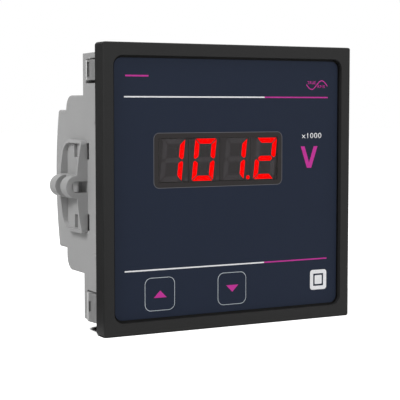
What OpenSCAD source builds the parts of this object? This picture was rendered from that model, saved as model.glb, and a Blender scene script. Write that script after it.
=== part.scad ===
// Digital panel meter, 96 x 96 mm front, clipped into a square panel cut-out.
// Origin: centre of the bezel's rear face, which is the plane of the panel.
// +X is to the right seen from the front, -Y is the front, +Z is up. Millimetres.

/* [Bezel] */
// Width and height of the square bezel
bezel_size = 96; // [93:0.5:130]
// Depth of the bezel in front of the panel
bezel_depth = 6.4; // [5.8:0.1:10]
// Radius of the bezel's four corners
bezel_corner = 1.2; // [0.8:0.1:3]
// Rounding of the bezel's front edge
bezel_edge = 0.6; // [0.3:0.1:0.8]
// Overhang of the bezel beyond the housing's sides
side_overhang = 2.5; // [2:0.1:3.5]
// Overhang of the bezel above and below the housing
top_overhang = 2.8; // [2:0.1:3.5]
// Width of the frame beside the sunk front
frame_w = 3.7; // [3:0.1:6]
// Width of the frame above and below the sunk front
frame_top = 4.2; // [3:0.1:6]
// Depth of the front film below the frame's face
film_recess = 1.5; // [0.8:0.1:2]
// Wall behind the film
front_wall = 1.5; // [1.2:0.1:2]
// Width of the groove around the film
groove_w = 0.8; // [0.4:0.1:1.2]
// Depth of the groove below the wall's face
groove_depth = 0.6; // [0.3:0.1:0.8]

/* [Film and window] */
// Thickness of the printed film
film_t = 0.3; // [0.2:0.05:0.5]
// Corner radius of the film
film_corner = 2.6; // [1:0.1:4]
// Margin of the display window beside the row of digits
window_side = 0.85; // [0.6:0.05:3]
// Margin of the display window above and below the digits
window_top = 0.65; // [0.4:0.05:3]
// Corner radius of the display window
window_corner = 2; // [1:0.1:3]
// Window centre, left or right of the bezel's centre
window_x = -4.4; // [-8:0.1:8]
// Window centre above the bezel's centre
window_z = 9.3; // [0:0.1:20]
// Width of the flange behind the film
window_flange = 1.2; // [0.8:0.1:2]
// Thickness of the flange behind the film
flange_t = 0.3; // [0.2:0.05:0.5]

/* [Digits] */
// Value on the display
reading = 1012; // [1012, 230, 4155, 9990]
// Digits after the decimal point
decimals = 1; // [1:1:3]
// Height of the lit figure
figure_h = 14.2; // [10:0.1:15]
// Width of the lit figure
figure_w = 8.1; // [6:0.1:9]
// Width of one bar of the figure
bar_w = 1.7; // [1:0.1:1.8]
// Gap between neighbouring bars
bar_gap = 0.28; // [0.1:0.02:0.4]
// Lean of the figure, in degrees
figure_lean = 6; // [0:0.5:8]
// Distance from one digit to the next
digit_pitch = 12; // [11.8:0.1:13]
// How far the row of digits sits right of the window's centre
digits_offset = 0.4; // [0:0.1:0.5]
// Height of a digit's case
digit_h = 17; // [16:0.1:17.4]
// Depth of a digit's case
digit_d = 8.1; // [7:0.1:10]
// Radius of the decimal point
point_r = 0.68; // [0.4:0.02:0.8]

/* [Keys] */
// Width and height of a key's pushed face
key_size = 9.6; // [7:0.1:10.4]
// Corner radius of a key
key_corner = 1.5; // [0.5:0.1:3]
// How far a key travels
key_travel = 0.25; // [0.15:0.05:0.35]
// From the film's left edge to the centre of the up key
up_key_in = 16.4; // [15.6:0.1:22]
// From the centre of the up key to that of the down key
key_pitch = 27.6; // [16:0.1:44]
// From the film's lower edge to the centres of the keys
key_up = 7.9; // [7.4:0.1:16]
// Width and height of a key switch
switch_size = 6; // [5:0.1:6.5]
// Height of a key switch above the board
switch_h = 3.4; // [3:0.1:4]
// Radius of a key switch's stem
switch_stem_r = 1.7; // [1.2:0.1:2]

/* [Housing] */
// Depth of the front part behind the panel
front_d = 15.9; // [15:0.1:18]
// How much lower the front part's top is at its rear, and its bottom higher
front_draft = 0.3; // [0:0.05:0.6]
// Height of the lower middle part
mid_h = 60.6; // [56:0.1:70]
// Centre of the middle part above the bezel's centre
mid_z = 0.7; // [-2:0.1:4]
// Depth of the middle part behind the panel
mid_d = 31.1; // [31:0.1:50]
// Radius of the middle part's rear edges
mid_edge = 5; // [3:0.1:6]
// Wall of the housing and the rear cover
wall = 2; // [1.6:0.1:2.4]
// Radius of the housing's long edges
long_edge = 0.5; // [0.3:0.1:1.4]

/* [Retention clips] */
// From the housing's top to the outer edge of an upper clip
clip_in = 2.2; // [2:0.1:4]
// Height of an upper clip
clip_h = 7.1; // [5:0.1:7.2]
// How much narrower an upper clip is at its root than at its free end
clip_taper = 0.6; // [0:0.1:1]
// Height of a lower clip, which reaches the housing's bottom
low_clip_h = 9.9; // [7:0.1:11]
// Where a clip ends behind the panel
clip_end = 13.4; // [12:0.1:13.6]
// How far a clip's crest stands out
clip_crest = 1.25; // [0.8:0.05:1.6]
// Gap between an upper clip and the wall below it
clip_gap = 1; // [0.5:0.05:1.2]
// Gap between an upper clip and the wall above it
clip_gap_outer = 0.5; // [0.3:0.05:0.6]
// Gap between a lower clip and the walls around it
low_clip_gap = 0.55; // [0.35:0.05:0.8]
// Depth of the pocket in front of a clip's crest
clip_pocket = 0.7; // [0.3:0.05:0.8]

/* [Rear cover] */
// Height of the rear cover
cover_h = 48.3; // [46:0.1:50]
// Centre of the rear cover above the bezel's centre
cover_z = 1.85; // [0:0.1:3]
// Depth of the cover at its crest, from the middle part's rear
cover_d = 9.7; // [8.6:0.1:14]
// Radius of the cover's bowed rear face
cover_bow = 100; // [90:1:200]

/* [Side brackets] */
// Distance from the panel to a bracket's front plate
bracket_y = 12.5; // [12.5:0.1:14]
// Length of a bracket along the housing
bracket_l = 16.1; // [15:0.1:17]
// Height of a bracket
bracket_h = 31.5; // [31:0.1:36]
// Centre of a bracket above the bezel's centre
bracket_z = 0.2; // [-1:0.1:1]
// How far a bracket's crest stands out from the housing
bracket_crest = 3.85; // [3.8:0.05:5]
// Radius of a bracket's bowed outer edge
bracket_bow = 68; // [66:1:200]
// Wall of a bracket
bracket_wall = 1.1; // [0.9:0.05:1.4]
// Radius of the two front corners of a bracket's tray
bracket_corner = 1.8; // [1.5:0.1:4]
// Radius of the two rear corners of a bracket's tray
bracket_rear_corner = 4.6; // [1.5:0.1:5]
// Height of each of the two hooks' slots
hook_h = 5.6; // [4:0.1:6]
// From a bracket's end to the slot of its hook
hook_in = 0.95; // [0.9:0.05:2]
// Length of one round pad
pad_l = 5.2; // [4:0.1:5.4]
// Radius of the clamp screw's bore
clamp_bore_r = 1.93; // [1.5:0.01:2.1]
// Wall of the two round pads that guide the clamp screw
pad_wall = 1.82; // [1.4:0.02:2.1]
// Gap between the round pads and the housing
pad_gap = 0.25; // [0.15:0.05:0.6]

/* [Boards and inner parts] */
// Thickness of both circuit boards
board_t = 1.6; // [1.2:0.1:2]
// Gap beside the main board
main_side_gap = 3.5; // [2:0.1:6]
// Gap between the main board and the cover's lip above and below it
main_top_gap = 0.65; // [0.3:0.05:2]
// From the seam back to the main board's front face
main_in = 5.1; // [4.7:0.1:5.5]
// Width of the supply transformer's core
core_w = 28; // [24:0.5:30]
// Height of the supply transformer's core
core_h = 24; // [20:0.5:26]
// Stack of the supply transformer's core
core_d = 10; // [8:0.5:11]
// Radius of the supply capacitor
cap_r = 5; // [4:0.1:6]
// Length of the supply capacitor
cap_l = 16; // [12:0.5:17]

/* [Terminals] */
// Distance from one terminal to the next
way_pitch = 13.2; // [12.4:0.1:13.4]
// Thickness of the barriers between the terminals
barrier_t = 1.6; // [1.2:0.1:2]
// Height of the terminal block
block_h = 22; // [20:0.1:24]
// Centre of the terminal block above the bezel's centre
block_z = 3; // [2:0.1:4]
// How far the barriers stand up from the terminals' floor
way_depth = 6; // [5.6:0.1:7]
// Radius of a terminal screw's thread
screw_r = 2; // [1.5:0.1:2.2]
// Radius of a terminal screw's head
head_r = 3.8; // [3.2:0.1:4.2]

/* [Hidden] */
$fn = 48;

eps = 0.01;                                      // overshoot of a cut past a face
fit_gap = 0.1;                                   // clearance of fixed pieces
slide_gap = 0.2;                                 // clearance of pieces that move
inner_corner = 0.5;                              // corner radius of the inner cavities

film_y = -bezel_depth + film_recess;             // front face of the film
wall_y = film_y + film_t;                        // front face of the wall behind it
pocket_y = wall_y + front_wall;                  // floor of the bezel's rear pocket
opening_w = bezel_size - 2 * frame_w;            // clear front opening
opening_h = bezel_size - 2 * frame_top;
opening_corner = film_corner + groove_w;
film_w = opening_w - 2 * groove_w;
film_h = opening_h - 2 * groove_w;
housing_w = bezel_size - 2 * side_overhang;
front_h = bezel_size - 2 * top_overhang;         // height of the housing next to the bezel

flange_y = wall_y + flange_t;                    // back of the window's flange
digit_y = flange_y + fit_gap / 2;                // front face of the digits
digit_case_w = digit_pitch - fit_gap;
digits_x = window_x + digits_offset;             // centre of the row of digits
segment_d = 1.2;                                 // depth of a cast bar
window_w = 4 * digit_pitch + 2 * window_side;
window_h = digit_h + 2 * window_top;
display_opening_w = 4 * digit_pitch + 2 * digits_offset + 2 * slide_gap;
display_opening_h = digit_h + 2 * slide_gap;
display_opening_corner = 0.3;
point_out = 1.05;                                // decimal point's centre beside the figure

board_y = digit_y + digit_d;                     // front face of the display board
board_margin = 1.7;                              // gap between the display board and the housing
display_board_size = min(housing_w, front_h) - 2 * wall - 2 * board_margin;
boss_r = 3;
boss_in = 3.4;                                   // boss's centre from the display board's edge
boss_out = display_board_size / 2 - boss_in;     // bosses from the centre line
main_boss_in = 4;                                // boss's centre from the main board's edges
board_screw_r = 1.25;
board_screw_head_r = 2.3;
board_screw_head_t = 1.5;
thread_gap = 0.05;                               // clearance round a thread

switch_y = board_y - switch_h;                   // front of a switch's body
stem_out = 0.5;                                  // how far a stem stands out
stem_in = 1.5;                                   // how far a stem reaches in
stem_y = switch_y - stem_out;
key_flange = 1;                                  // width and thickness of a key's rim
key_post_r = 2.4;
up_key_x = -film_w / 2 + up_key_in;
down_key_x = up_key_x + key_pitch;
key_z = -film_h / 2 + key_up;

clip_near = front_h / 2 - clip_in - clip_h;      // an upper clip's lower edge
low_clip_near = front_h / 2 - low_clip_h;        // a lower clip's upper edge, from the centre down
clip_start = 0.3;                                // front end of a clip's cut in the wall
clip_t = 0.8 * wall;                             // a clip's thickness at its root
crest_y = clip_end - 3.15;                       // middle of a clip's crest
crest_r = 0.45;                                  // rounding of the crest

cover_y = mid_d;                                 // seam between housing and cover
cover_crest_y = cover_y + cover_d;
lip_t = 1.5;                                     // wall of the cover's locating lip

slot_front = bracket_y - 1.3;                    // slots for the brackets' hooks
slot_back = bracket_y + 5.7;
slot_far = bracket_h / 2 - hook_in;
slot_near = slot_far - hook_h;
hook_l = 2.7;                                    // length of a hook's foot in its slot
hook_reach = 3.1;                                // how far a hook turns back behind the wall
hook_t = 1.3;
bracket_end = bracket_y + bracket_l;
pad_r = clamp_bore_r + pad_wall;
clamp_out = pad_r + pad_gap;                     // clamp screw's axis from the housing's side
web_t = 1;                                       // webs above and below the pads
window_l = 2.9;                                  // length of the floor windows

main_w = housing_w - 2 * wall - 2 * main_side_gap;
main_h = cover_h - 2 * wall - 2 * lip_t - 2 * main_top_gap;
main_y = cover_y - main_in;                      // front face of the main board

header_ways = 10;
header_pitch = 2.54;
header_l = header_ways * header_pitch;
header_z = cover_z + main_h / 2 - 4;
socket_l = 8.5;

core_x = -17;
core_leg = core_w / 6;                           // half the middle leg of the core
bobbin_d = core_d + 6;

block_ways = 4;
block_w = block_ways * way_pitch + barrier_t;
block_floor = cover_crest_y - fit_gap * 2;       // floor of the terminals
block_back = block_floor + way_depth;
block_front = main_y + board_t;
screw_z = block_z - 2;                           // height of the terminal screws
plate_t = 0.8;
clamp_t = 1.2;
clamp_size = 9.6;
head_t = 2.4;

housing_grey = "#a0a0a0";
black_plastic = "#2e2e2e";
board_green = "#1f5a3a";
plated_steel = "#b9bcc0";

// Bars of each figure: top, upper right, lower right, bottom, lower left, upper left, middle
FIGURE = [
  [1, 1, 1, 1, 1, 1, 0], [0, 1, 1, 0, 0, 0, 0], [1, 1, 0, 1, 1, 0, 1], [1, 1, 1, 1, 0, 0, 1],
  [0, 1, 1, 0, 0, 1, 1], [1, 0, 1, 1, 0, 1, 1], [1, 0, 1, 1, 1, 1, 1], [1, 1, 1, 0, 0, 0, 0],
  [1, 1, 1, 1, 1, 1, 1], [1, 1, 1, 1, 0, 1, 1]];

function digit_x(i) = digits_x + (i - 2.5) * digit_pitch;
function digit_value(i) = floor(reading / pow(10, 4 - i)) % 10;
function way_x(i) = (i - (block_ways + 1) / 2) * way_pitch;

// ---- drawing planes --------------------------------------------------------

// Extrudes an outline drawn in X and Z from one depth to another
module slab(y0, y1) translate([0, y1, 0]) rotate([90, 0, 0]) linear_extrude(y1 - y0) children();

// Extrudes an outline drawn in Y and Z from one side to another
module across(x0, x1) translate([x0, 0, 0]) rotate([90, 0, 90]) linear_extrude(x1 - x0) children();

// A round bar or bore along Y
module rod(r, y0, y1) translate([0, y1, 0]) rotate([90, 0, 0]) cylinder(r = r, h = y1 - y0);

module rounded(w, h, r) {
  square([w - 2 * r, h], center = true);
  square([w, h - 2 * r], center = true);
  for (x = [-1, 1], y = [-1, 1]) translate([x * (w / 2 - r), y * (h / 2 - r)]) circle(r);
}

// A rectangle that starts at x0 and is rounded only at its far end x1
module round_ended(x0, x1, h, r) {
  translate([x0, -h / 2]) square([x1 - x0 - r, h]);
  translate([x0, -h / 2 + r]) square([x1 - x0, h - 2 * r]);
  for (y = [-1, 1]) translate([x1 - r, y * (h / 2 - r)]) circle(r);
}

module four_corners(x, z) for (i = [-1, 1], j = [-1, 1]) translate([i * x, 0, j * z]) children();

// ---- front -----------------------------------------------------------------

module window_place() translate([window_x, 0, window_z]) children();

module bezel() color(black_plastic) {
  difference() {
    intersection() {
      slab(-bezel_depth, 0) rounded(bezel_size, bezel_size, bezel_corner);
      across(-bezel_size, bezel_size) mirror([1, 0]) round_ended(0, bezel_depth, bezel_size, bezel_edge);
      translate([0, 0, -bezel_size]) linear_extrude(2 * bezel_size)
        rotate(-90) round_ended(0, bezel_depth, bezel_size, bezel_edge);
    }
    slab(-bezel_depth - eps, wall_y) rounded(opening_w, opening_h, opening_corner);
    slab(wall_y - eps, wall_y + groove_depth) difference() {
      rounded(opening_w, opening_h, opening_corner);
      rounded(film_w, film_h, film_corner);
    }
    slab(pocket_y, eps) rounded(housing_w + 2 * fit_gap, front_h + 2 * fit_gap, long_edge);
    window_place() {
      slab(wall_y - eps, flange_y)
        rounded(window_w + 2 * window_flange + 2 * fit_gap, window_h + 2 * window_flange + 2 * fit_gap,
          window_corner + window_flange);
      slab(wall_y, pocket_y + eps) rounded(display_opening_w, display_opening_h, display_opening_corner);
    }
    for (x = [up_key_x, down_key_x]) translate([x, 0, key_z])
      slab(wall_y - eps, pocket_y + eps) rounded(key_size + 2 * slide_gap, key_size + 2 * slide_gap,
        key_corner + slide_gap);
  }
  four_corners(boss_out, boss_out) difference() {
    rod(boss_r, pocket_y - eps, board_y);
    rod(board_screw_r + thread_gap, pocket_y + 1, board_y + eps);
  }
}

module front_overlay() color("#29303d") difference() {
  slab(film_y, wall_y) rounded(film_w, film_h, film_corner);
  window_place() slab(film_y - eps, wall_y + eps) rounded(window_w, window_h, window_corner);
}

module display_window() color("#3a3636") window_place() {
  slab(film_y, wall_y + eps) rounded(window_w - 0.04, window_h - 0.04, window_corner);
  slab(wall_y, flange_y)
    rounded(window_w + 2 * window_flange, window_h + 2 * window_flange, window_corner + window_flange - fit_gap);
}

// ---- display ---------------------------------------------------------------

function lean(points) = [for (p = points) [p.x + p.y * tan(figure_lean), p.y]];

// Outline of the top bar, mitred at both ends
function top_bar(w, h, t, g) = [[-w / 2 + g, h / 2], [w / 2 - g, h / 2],
  [w / 2 - g - t, h / 2 - t], [-w / 2 + g + t, h / 2 - t]];

// Outline of the upper right bar, pointed towards the middle
function side_bar(w, h, t, g) = [[w / 2, h / 2 - g], [w / 2, t / 2], [w / 2 - t / 3, g],
  [w / 2 - t, t / 2 + g], [w / 2 - t, h / 2 - g - t]];

// Outline of the middle bar, pointed at both ends
function middle_bar(w, t, g) = [[-w / 2 + t / 2 + g, 0], [-w / 2 + t + g, t / 2], [w / 2 - t - g, t / 2],
  [w / 2 - t / 2 - g, 0], [w / 2 - t - g, -t / 2], [-w / 2 + t + g, -t / 2]];

function flip(points, sx, sy) = [for (p = points) [p.x * sx, p.y * sy]];

// Outline of bar k, in the order of FIGURE
function bar(k, w = figure_w, h = figure_h, t = bar_w, g = bar_gap) =
  k == 0 ? top_bar(w, h, t, g)
  : k == 1 ? side_bar(w, h, t, g)
  : k == 2 ? flip(side_bar(w, h, t, g), 1, -1)
  : k == 3 ? flip(top_bar(w, h, t, g), 1, -1)
  : k == 4 ? flip(side_bar(w, h, t, g), -1, -1)
  : k == 5 ? flip(side_bar(w, h, t, g), -1, 1)
  : middle_bar(w, t, g);

module decimal_point() translate([figure_w / 2 + point_out, -figure_h / 2 + point_r]) circle(point_r);

// The pockets of a digit's case, into which its bars and its point are cast
module bar_pockets() {
  for (k = [0:6]) polygon(lean(bar(k)));
  decimal_point();
}

module digit_case(i) color("#383434") translate([digit_x(i), 0, window_z]) difference() {
  slab(digit_y, board_y) square([digit_case_w, digit_h], center = true);
  slab(digit_y - eps, digit_y + segment_d) bar_pockets();
}

module digit_1_case() digit_case(1);
module digit_2_case() digit_case(2);
module digit_3_case() digit_case(3);
module digit_4_case() digit_case(4);

// The cast bars that are lit, or those that are not
module segments(lit) for (i = [1:4]) translate([digit_x(i), 0, window_z]) slab(digit_y, digit_y + segment_d) {
  for (k = [0:6]) if ((FIGURE[digit_value(i)][k] == 1) == lit) polygon(lean(bar(k)));
  if ((i == 4 - decimals) == lit) decimal_point();
}

module lit_segments() color("#fe0000") segments(true);
module dark_segments() color("#424040") segments(false);

module display_board() color(board_green) difference() {
  slab(board_y, board_y + board_t) rounded(display_board_size, display_board_size, 1.5);
  four_corners(boss_out, boss_out) rod(board_screw_r + slide_gap, board_y - eps, board_y + board_t + eps);
}

// A pan head screw along Y that holds a board: its head is at y, its thread runs towards dir
module board_screw(y, dir, length) {
  head_y = y - dir * board_screw_head_t;
  rod(board_screw_r, min(y, y + dir * length), max(y, y + dir * length));
  difference() {
    rod(board_screw_head_r, min(y, head_y), max(y, head_y));
    for (a = [0, 90]) translate([0, head_y, 0]) rotate([0, a, 0]) cube([2.8, 1.6, 0.6], center = true);
  }
}

module display_board_screws() color(plated_steel)
  four_corners(boss_out, boss_out) board_screw(board_y + board_t, -1, 6);

// ---- keys ------------------------------------------------------------------

module key_plunger(x) color(black_plastic) translate([x, 0, key_z]) {
  slab(wall_y + fit_gap / 2, pocket_y + slide_gap + eps) rounded(key_size, key_size, key_corner);
  slab(pocket_y + slide_gap, pocket_y + slide_gap + key_flange)
    rounded(key_size + 2 * key_flange, key_size + 2 * key_flange, key_corner + key_flange);
  rod(key_post_r, pocket_y + slide_gap, stem_y);
}

module key_stem(x) color("#1c1c1c") translate([x, 0, key_z]) {
  rod(switch_stem_r, stem_y, switch_y + stem_in);
}

module key_switch(x) color("#4a4a4c") translate([x, 0, key_z]) {
  rivet_out = switch_size / 2 - 0.9;
  difference() {
    union() {
      slab(switch_y, board_y) rounded(switch_size, switch_size, 0.4);
      four_corners(rivet_out, rivet_out) rod(0.45, switch_y - 0.15, switch_y + eps);
    }
    rod(switch_stem_r + fit_gap / 2, switch_y - 1, switch_y + stem_in + key_travel + slide_gap);
  }
  for (s = [-1, 1], z = [-1, 1]) translate([s * (switch_size / 2 + 0.35), board_y - 0.4, z * 2.25])
    cube([0.7 + 2 * eps, 0.8, 0.7], center = true);
}

module up_key_plunger() key_plunger(up_key_x);
module up_key_stem() key_stem(up_key_x);
module up_key_switch() key_switch(up_key_x);
module down_key_plunger() key_plunger(down_key_x);
module down_key_stem() key_stem(down_key_x);
module down_key_switch() key_switch(down_key_x);

// ---- housing ---------------------------------------------------------------

// The middle part's side view: depth along the first axis, height along the second
module mid_side_view(inset) translate([0, mid_z])
  round_ended(0, mid_d - inset, mid_h - 2 * inset, mid_edge - inset);

// The front part's side view, lower at its rear than at the panel
module front_side_view(inset) {
  h = front_h / 2 - inset;
  polygon([[pocket_y - 1, -h], [0, -h], [front_d, front_draft - h], [front_d, h - front_draft], [0, h],
    [pocket_y - 1, h]]);
}

// Side view of a clip on the right, cut out of the side wall: distance across first, then depth.
// Its free end is at the front, and it rises to a round crest near its root.
module clip_outline() {
  x = housing_w / 2;
  polygon([[x - clip_t, clip_start + fit_gap], [x - clip_t / 2, clip_start + fit_gap],
    [x + clip_crest - 0.2, crest_y - crest_r], [x + clip_crest - crest_r, crest_y + crest_r],
    [x + clip_crest * 0.6, crest_y + 1.6], [x, clip_end], [x - clip_t, clip_end + eps]]);
  translate([x + clip_crest - crest_r, crest_y]) circle(crest_r);
}

// A clip from one height to another, with a pocket in front of its crest
module clip_tongue(z0, z1, pocket_z, pocket_h) difference() {
  translate([0, 0, z0]) linear_extrude(z1 - z0) clip_outline();
  translate([housing_w / 2 + clip_crest - clip_pocket, crest_y - crest_r - 1.4, pocket_z - pocket_h / 2])
    cube([clip_pocket + 1, 1.4, pocket_h]);
}

// The upper right clip, whose upper edge slopes down towards its root
module upper_clip() difference() {
  clip_tongue(clip_near, clip_near + clip_h, clip_near + clip_h / 2 - 0.1, clip_h - 2.1);
  across(0, housing_w) polygon([[clip_start, clip_near + clip_h], [clip_end + 1, clip_near + clip_h - clip_taper],
    [clip_end + 1, clip_near + clip_h + 1], [clip_start, clip_near + clip_h + 1]]);
}

// The lower right clip, which takes in the housing's lower edge
module lower_clip() intersection() {
  clip_tongue(-front_h / 2, -low_clip_near, -low_clip_near - 4.4, 3.5);
  across(0, housing_w) front_side_view(0);
}

// Room for the upper right clip in the side wall
module upper_clip_room() across(housing_w / 2 - wall - eps, housing_w / 2 + 1)
  polygon([[clip_start, clip_near - clip_gap], [clip_end, clip_near - clip_gap],
    [clip_end, clip_near + clip_h + clip_gap_outer - clip_taper],
    [clip_start, clip_near + clip_h + clip_gap_outer]]);

// Room for the lower right clip in the side wall and at the end of the bottom wall
module lower_clip_room() translate([housing_w / 2 - clip_t - low_clip_gap, clip_start, -front_h / 2 - 1])
  cube([clip_t + low_clip_gap + 1, clip_end - clip_start, low_clip_h + low_clip_gap + 1]);

module on_both_sides() for (i = [0, 1]) mirror([i, 0, 0]) children();

// Slots through the side walls for the brackets' hooks
module hook_slots() for (s = [-1, 1]) translate([0, slot_front, bracket_z + (s > 0 ? slot_near : -slot_far)])
  translate([-housing_w / 2 - 1, 0, 0]) cube([housing_w + 2, slot_back - slot_front, slot_far - slot_near]);

module housing() color(housing_grey) {
  difference() {
    union() {
      intersection() {
        slab(pocket_y, front_d) rounded(housing_w, front_h, long_edge);
        across(-housing_w, housing_w) front_side_view(0);
      }
      intersection() {
        translate([0, 0, mid_z]) slab(0, mid_d) rounded(housing_w, mid_h, long_edge);
        across(-housing_w, housing_w) mid_side_view(0);
      }
    }
    intersection() {
      slab(pocket_y - eps, front_d - wall) rounded(housing_w - 2 * wall, front_h - 2 * wall, inner_corner);
      across(-housing_w, housing_w) front_side_view(wall);
    }
    intersection() {
      translate([0, 0, mid_z]) slab(0, mid_d) rounded(housing_w - 2 * wall, mid_h - 2 * wall, inner_corner);
      across(-housing_w, housing_w) mid_side_view(wall);
    }
    translate([0, 0, cover_z]) slab(mid_d - wall - eps, mid_d + eps)
      rounded(housing_w - 2 * wall, cover_h - 2 * wall, inner_corner);
    hook_slots();
    on_both_sides() {
      upper_clip_room();
      lower_clip_room();
    }
  }
  on_both_sides() {
    upper_clip();
    lower_clip();
    // short ribs that centre the housing in the cut-out
    for (j = [-1, 1]) translate([housing_w / 2 - eps, 2.2, j * 22.5 - 0.4]) cube([0.6 + eps, 4.4, 0.8]);
  }
}

// ---- rear cover ------------------------------------------------------------

// Side view of the bowed cover, drawn in depth and height, inside walls of a given thickness
module cover_side_view(inset) translate([0, cover_z]) intersection() {
  translate([cover_y - eps, -cover_h / 2 + inset]) square([cover_d + eps, cover_h - 2 * inset]);
  translate([cover_crest_y - cover_bow, 0]) circle(cover_bow - inset, $fn = 180);
}

// Ring inside the walls of the cover, a gap away from them
module lip_outline(gap) difference() {
  rounded(housing_w - 2 * wall - 2 * gap, cover_h - 2 * wall - 2 * gap, inner_corner);
  rounded(housing_w - 2 * wall - 2 * lip_t, cover_h - 2 * wall - 2 * lip_t, inner_corner);
}

module at_main_bosses() translate([0, 0, cover_z])
  four_corners(main_w / 2 - main_boss_in, main_h / 2 - main_boss_in) children();

module rear_cover() color(housing_grey) difference() {
  union() {
    difference() {
      intersection() {
        across(-housing_w / 2, housing_w / 2) cover_side_view(0);
        translate([0, 0, cover_z]) slab(cover_y, cover_crest_y) rounded(housing_w, cover_h, 0.8);
      }
      across(-housing_w / 2 + wall, housing_w / 2 - wall) cover_side_view(wall);
    }
    // lip that locates the cover in the housing's rear opening, with its root inside the cover
    translate([0, 0, cover_z]) {
      slab(cover_y - wall, cover_y + 1) lip_outline(fit_gap);
      slab(cover_y, cover_y + 1) lip_outline(-eps);
    }
    // bosses that carry the main board
    at_main_bosses() rod(boss_r, main_y + board_t, cover_crest_y - wall);
  }
  at_main_bosses() rod(board_screw_r + thread_gap, main_y + board_t - eps, main_y + board_t + 7);
  translate([0, 0, block_z]) slab(cover_y, cover_crest_y + 1)
    square([block_w + 2 * fit_gap, block_h + 2 * fit_gap], center = true);
}

// ---- main board and what it carries ----------------------------------------

module main_board() color(board_green) difference() {
  translate([0, 0, cover_z]) slab(main_y, main_y + board_t) rounded(main_w, main_h, 1);
  at_main_bosses() rod(board_screw_r + slide_gap, main_y - eps, main_y + board_t + eps);
}

module main_board_screws() color(plated_steel) at_main_bosses() board_screw(main_y, 1, 7.5);

module at_header_pins() for (i = [0:header_ways - 1])
  translate([(i - (header_ways - 1) / 2) * header_pitch, 0, 0]) children();

module pin_header() color("#c8a24a") translate([0, 0, header_z]) {
  slab(main_y - 2.5, main_y) square([header_l, 2.4], center = true);
  at_header_pins() slab(board_y + board_t + socket_l - 6, main_y - 2.5 + eps) square(0.64, center = true);
}

module header_socket() color("#1c1c1c") translate([0, 0, header_z]) difference() {
  slab(board_y + board_t, board_y + board_t + socket_l) square([header_l + 1, 2.5], center = true);
  at_header_pins() slab(board_y + board_t + socket_l - 6.5, board_y + board_t + socket_l + eps)
    square(0.8, center = true);
}

// Laminated core: an outer frame with a middle leg
module transformer_core() color("#6c6a66") translate([core_x, 0, cover_z - 1])
  slab(main_y - bobbin_d / 2 - core_d / 2, main_y - bobbin_d / 2 + core_d / 2) difference() {
    square([core_w, core_h], center = true);
    for (s = [-1, 1]) translate([s * core_leg * 1.5, 0])
      square([core_leg, core_h - 2 * core_leg], center = true);
  }

// Winding and its flanged former round the middle leg
module transformer_bobbin() color("#b08a3c") translate([core_x, 0, cover_z - 1]) difference() {
  win_h = core_h - 2 * core_leg - 0.4;
  union() {
    slab(main_y - bobbin_d + 0.6, main_y - 0.6) square([4 * core_leg - 0.4, win_h - 2.4], center = true);
    for (s = [-1, 1]) translate([0, 0, s * (win_h / 2 - 0.6)])
      slab(main_y - bobbin_d, main_y) square([4 * core_leg - 0.2, 1.2], center = true);
  }
  slab(main_y - bobbin_d / 2 - core_d / 2 - 0.1, main_y - bobbin_d / 2 + core_d / 2 + 0.1)
    square([2 * core_leg + 0.2, core_h], center = true);
}

// Aluminium can with a rolled groove near its base
module supply_capacitor() color("#3a4048") translate([8, main_y, cover_z - 9]) rotate([90, 0, 0]) difference() {
  cylinder(r = cap_r, h = cap_l);
  translate([0, 0, 2]) difference() {
    cylinder(r = cap_r + 1, h = 1);
    cylinder(r = cap_r - 0.4, h = 1);
  }
}

module converter_chip() color("#1c1c1c") translate([10, 0, cover_z + 4]) {
  slab(main_y - 2.4, main_y - 0.2) square([10, 7.5], center = true);
  for (s = [-1, 1], i = [0:5]) translate([(i - 2.5) * 1.27, 0, s * 4.6])
    slab(main_y - 1.1, main_y) square([0.5, 1.8], center = true);
}

module input_resistors() color("#9fb4c4") for (i = [0:2])
  translate([27, main_y - 1.6, cover_z - 9 + 5 * i]) rotate([0, 90, 0]) {
    cylinder(r = 1.6, h = 8, center = true);
    for (s = [-1, 1]) translate([0, 0, s * 4.6]) rotate([-90, 0, 0]) cylinder(r = 0.35, h = 1.6);
    cylinder(r = 0.35, h = 9.8, center = true);
  }

// ---- terminals -------------------------------------------------------------

module terminal_block() color(black_plastic) translate([0, 0, block_z]) difference() {
  slab(block_front, block_back) square([block_w, block_h], center = true);
  for (i = [1:block_ways]) translate([way_x(i), 0, 0]) {
    slab(block_floor, block_back + 1) translate([0, barrier_t / 2 + 1])
      square([way_pitch - barrier_t, block_h - barrier_t + 2], center = true);
    translate([0, 0, screw_z - block_z]) rod(screw_r + thread_gap, block_floor - 7, block_floor + eps);
  }
}

module terminal_plates() color(plated_steel) for (i = [1:block_ways]) translate([way_x(i), 0, 0]) difference() {
  translate([0, 0, block_z]) slab(block_floor, block_floor + plate_t) translate([0, 0.4])
    square([clamp_size + 0.8, block_h - 2 * barrier_t - 1.2], center = true);
  translate([0, 0, screw_z]) rod(screw_r + 0.1, block_floor - 1, block_floor + 2);
}

module terminal_clamps() color(plated_steel) for (i = [1:block_ways]) translate([way_x(i), 0, screw_z]) difference() {
  slab(block_floor + plate_t, block_floor + plate_t + clamp_t) rounded(clamp_size, clamp_size, 0.6);
  rod(screw_r + slide_gap, block_floor, block_floor + plate_t + clamp_t + 1);
}

module terminal_screws() color(plated_steel) for (i = [1:block_ways]) translate([way_x(i), 0, screw_z]) {
  head_y = block_floor + plate_t + clamp_t;
  rod(screw_r, block_floor - 6, head_y);
  difference() {
    rod(head_r, head_y, head_y + head_t);
    for (a = [0, 90]) translate([0, head_y + head_t, 0]) rotate([0, a, 0]) cube([5, 2.6, 1], center = true);
  }
}

// ---- side brackets ---------------------------------------------------------

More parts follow.
